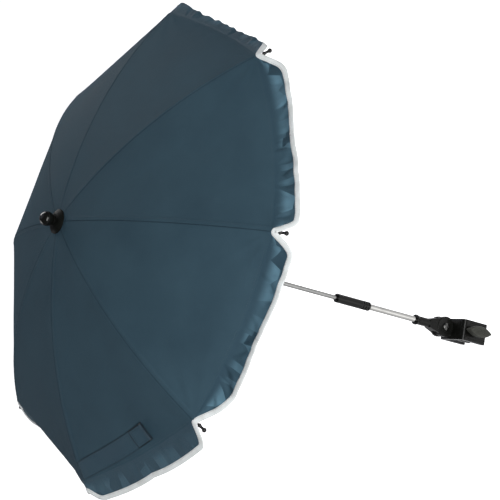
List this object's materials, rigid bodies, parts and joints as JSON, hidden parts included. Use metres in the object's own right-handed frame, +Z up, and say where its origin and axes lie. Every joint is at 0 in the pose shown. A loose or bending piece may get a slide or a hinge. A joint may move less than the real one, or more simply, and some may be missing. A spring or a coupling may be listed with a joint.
{
  "type": "pram parasol",
  "caption": "Folding pram parasol: fabric canopy on hinged ribs with stretchers and a runner, a pole with a sleeved knuckle, and a tilting screw clamp for a frame tube.",
  "frame": {"origin": "middle of the clamped frame tube, on its axis", "axes": "+Z up the pole to the crown, +X along the clamped tube, -Y the wing knob's side"},
  "size_m": [0.7066, 0.7066, 0.8171],
  "materials": {
    "clamp_plastic": "moulded satin black",
    "black_gloss": "glossy moulded black",
    "pad_rubber": "matt rubber",
    "zinc_steel": "zinc plated",
    "rib_steel": "bright rolled channel",
    "grey_tube": "grey lacquered tube",
    "chrome_tube": "chrome plated tube",
    "canopy_fabric": "coated woven polyester, semi-matt",
    "piping_silver": "silver woven binding"
  },
  "bodies": {
    "clamp": {"clamp_body": "clamp_plastic", "rear_pad": "pad_rubber", "clamp_fasteners": "zinc_steel"},
    "shoe": {"pressure_shoe": "clamp_plastic"},
    "screw": {"clamp_screw": "zinc_steel", "wing_knob": "clamp_plastic"},
    "arm": {"socket_yoke": "clamp_plastic", "lower_tube": "chrome_tube", "knuckle_fork": "zinc_steel", "knuckle_rivet": "zinc_steel"},
    "sleeve": {"joint_sleeve": "black_gloss"},
    "mast": {"knuckle_tongue": "zinc_steel", "upper_tube": "grey_tube", "catch_spring": "zinc_steel", "crown_notch": "black_gloss", "crown_ring": "zinc_steel", "crown_cap": "black_gloss", "ferrule_knob": "black_gloss"},
    "runner": {"runner": "black_gloss"},
    "rib_1": {"rib_1": "rib_steel", "rib_tip_1": "black_gloss", "canopy_panel_1": "canopy_fabric", "piping_1": "piping_silver"},
    "stretcher_1": {"stretcher_1": "rib_steel"},
    "rib_2": {"rib_2": "rib_steel", "rib_tip_2": "black_gloss", "canopy_panel_2": "canopy_fabric", "piping_2": "piping_silver"},
    "stretcher_2": {"stretcher_2": "rib_steel"},
    "rib_3": {"rib_3": "rib_steel", "rib_tip_3": "black_gloss", "canopy_panel_3": "canopy_fabric", "piping_3": "piping_silver"},
    "stretcher_3": {"stretcher_3": "rib_steel"},
    "rib_4": {"rib_4": "rib_steel", "rib_tip_4": "black_gloss", "canopy_panel_4": "canopy_fabric", "piping_4": "piping_silver"},
    "stretcher_4": {"stretcher_4": "rib_steel"},
    "rib_5": {"rib_5": "rib_steel", "rib_tip_5": "black_gloss", "canopy_panel_5": "canopy_fabric", "piping_5": "piping_silver", "closing_strap": "canopy_fabric"},
    "stretcher_5": {"stretcher_5": "rib_steel"},
    "rib_6": {"rib_6": "rib_steel", "rib_tip_6": "black_gloss", "canopy_panel_6": "canopy_fabric", "piping_6": "piping_silver"},
    "stretcher_6": {"stretcher_6": "rib_steel"},
    "rib_7": {"rib_7": "rib_steel", "rib_tip_7": "black_gloss", "canopy_panel_7": "canopy_fabric", "piping_7": "piping_silver"},
    "stretcher_7": {"stretcher_7": "rib_steel"},
    "rib_8": {"rib_8": "rib_steel", "rib_tip_8": "black_gloss", "canopy_panel_8": "canopy_fabric", "piping_8": "piping_silver"},
    "stretcher_8": {"stretcher_8": "rib_steel"}
  },
  "joints": [
    {"name": "screw_turn", "type": "hinge", "parent": "shoe", "child": "screw", "pos_m": [0, 0, 0], "axis": [0, -1, 0], "range_deg": [-1160, 2140]},
    {"name": "shoe_slide", "type": "slide", "parent": "clamp", "child": "shoe", "axis": [0, -1, 0], "range_m": [-0.004, 0.0074]},
    {"name": "pole_tilt", "type": "hinge", "parent": "clamp", "child": "arm", "pos_m": [0, 0, 0.041], "axis": [0, 1, 0], "range_deg": [-90, 90]},
    {"name": "canopy_bend", "type": "hinge", "parent": "arm", "child": "mast", "pos_m": [0, 0, 0.254], "axis": [0, 1, 0], "range_deg": [0, 90]},
    {"name": "sleeve_slide", "type": "slide", "parent": "arm", "child": "sleeve", "axis": [0, 0, -1], "range_m": [-0.00001, 0.06]},
    {"name": "runner_slide", "type": "slide", "parent": "mast", "child": "runner", "axis": [0, 0, -1], "range_m": [0, 0.1819], "deforming": ["canopy_panel_1", "canopy_panel_2", "canopy_panel_3", "canopy_panel_4", "canopy_panel_5", "canopy_panel_6", "canopy_panel_7", "canopy_panel_8", "piping_1", "piping_2", "piping_3", "piping_4", "piping_5", "piping_6", "piping_7", "piping_8", "closing_strap", "catch_spring"]},
    {"name": "rib_1_fold", "type": "hinge", "parent": "mast", "child": "rib_1", "pos_m": [0.009, 0, 0.7575], "axis": [0, 1, 0], "range_deg": [-0.05, 65.09]},
    {"name": "stretcher_1_fold", "type": "hinge", "parent": "rib_1", "child": "stretcher_1", "pos_m": [0.14894, 0, 0.72907], "axis": [0, 1, 0], "range_deg": [-110.89, 0.05]},
    {"name": "rib_2_fold", "type": "hinge", "parent": "mast", "child": "rib_2", "pos_m": [0.00636, 0.00636, 0.7575], "axis": [-0.7071, 0.7071, 0], "range_deg": [-0.05, 65.09]},
    {"name": "stretcher_2_fold", "type": "hinge", "parent": "rib_2", "child": "stretcher_2", "pos_m": [0.10531, 0.10531, 0.72907], "axis": [-0.7071, 0.7071, 0], "range_deg": [-110.89, 0.05]},
    {"name": "rib_3_fold", "type": "hinge", "parent": "mast", "child": "rib_3", "pos_m": [0, 0.009, 0.7575], "axis": [-1, 0, 0], "range_deg": [-0.05, 65.09]},
    {"name": "stretcher_3_fold", "type": "hinge", "parent": "rib_3", "child": "stretcher_3", "pos_m": [0, 0.14894, 0.72907], "axis": [-1, 0, 0], "range_deg": [-110.89, 0.05]},
    {"name": "rib_4_fold", "type": "hinge", "parent": "mast", "child": "rib_4", "pos_m": [-0.00636, 0.00636, 0.7575], "axis": [-0.7071, -0.7071, 0], "range_deg": [-0.05, 65.09]},
    {"name": "stretcher_4_fold", "type": "hinge", "parent": "rib_4", "child": "stretcher_4", "pos_m": [-0.10531, 0.10531, 0.72907], "axis": [-0.7071, -0.7071, 0], "range_deg": [-110.89, 0.05]},
    {"name": "rib_5_fold", "type": "hinge", "parent": "mast", "child": "rib_5", "pos_m": [-0.009, 0, 0.7575], "axis": [0, -1, 0], "range_deg": [-0.05, 65.09]},
    {"name": "stretcher_5_fold", "type": "hinge", "parent": "rib_5", "child": "stretcher_5", "pos_m": [-0.14894, 0, 0.72907], "axis": [0, -1, 0], "range_deg": [-110.89, 0.05]},
    {"name": "rib_6_fold", "type": "hinge", "parent": "mast", "child": "rib_6", "pos_m": [-0.00636, -0.00636, 0.7575], "axis": [0.7071, -0.7071, 0], "range_deg": [-0.05, 65.09]},
    {"name": "stretcher_6_fold", "type": "hinge", "parent": "rib_6", "child": "stretcher_6", "pos_m": [-0.10531, -0.10531, 0.72907], "axis": [0.7071, -0.7071, 0], "range_deg": [-110.89, 0.05]},
    {"name": "rib_7_fold", "type": "hinge", "parent": "mast", "child": "rib_7", "pos_m": [0, -0.009, 0.7575], "axis": [1, 0, 0], "range_deg": [-0.05, 65.09]},
    {"name": "stretcher_7_fold", "type": "hinge", "parent": "rib_7", "child": "stretcher_7", "pos_m": [0, -0.14894, 0.72907], "axis": [1, 0, 0], "range_deg": [-110.89, 0.05]},
    {"name": "rib_8_fold", "type": "hinge", "parent": "mast", "child": "rib_8", "pos_m": [0.00636, -0.00636, 0.7575], "axis": [0.7071, 0.7071, 0], "range_deg": [-0.05, 65.09]},
    {"name": "stretcher_8_fold", "type": "hinge", "parent": "rib_8", "child": "stretcher_8", "pos_m": [0.10531, -0.10531, 0.72907], "axis": [0.7071, 0.7071, 0], "range_deg": [-110.89, 0.05]}
  ],
  "couplings": [
    {"joint": "screw_turn", "follows": "shoe_slide", "rad_per_m": 5026.5},
    {"joint": "sleeve_slide", "follows": "canopy_bend", "m_per_rad": 0.0375},
    {"joint": "rib_1_fold", "follows": "runner_slide", "rad_per_m": 6.241},
    {"joint": "stretcher_1_fold", "follows": "runner_slide", "rad_per_m": -10.635},
    {"joint": "rib_2_fold", "follows": "runner_slide", "rad_per_m": 6.241},
    {"joint": "stretcher_2_fold", "follows": "runner_slide", "rad_per_m": -10.635},
    {"joint": "rib_3_fold", "follows": "runner_slide", "rad_per_m": 6.241},
    {"joint": "stretcher_3_fold", "follows": "runner_slide", "rad_per_m": -10.635},
    {"joint": "rib_4_fold", "follows": "runner_slide", "rad_per_m": 6.241},
    {"joint": "stretcher_4_fold", "follows": "runner_slide", "rad_per_m": -10.635},
    {"joint": "rib_5_fold", "follows": "runner_slide", "rad_per_m": 6.241},
    {"joint": "stretcher_5_fold", "follows": "runner_slide", "rad_per_m": -10.635},
    {"joint": "rib_6_fold", "follows": "runner_slide", "rad_per_m": 6.241},
    {"joint": "stretcher_6_fold", "follows": "runner_slide", "rad_per_m": -10.635},
    {"joint": "rib_7_fold", "follows": "runner_slide", "rad_per_m": 6.241},
    {"joint": "stretcher_7_fold", "follows": "runner_slide", "rad_per_m": -10.635},
    {"joint": "rib_8_fold", "follows": "runner_slide", "rad_per_m": 6.241},
    {"joint": "stretcher_8_fold", "follows": "runner_slide", "rad_per_m": -10.635}
  ]
}
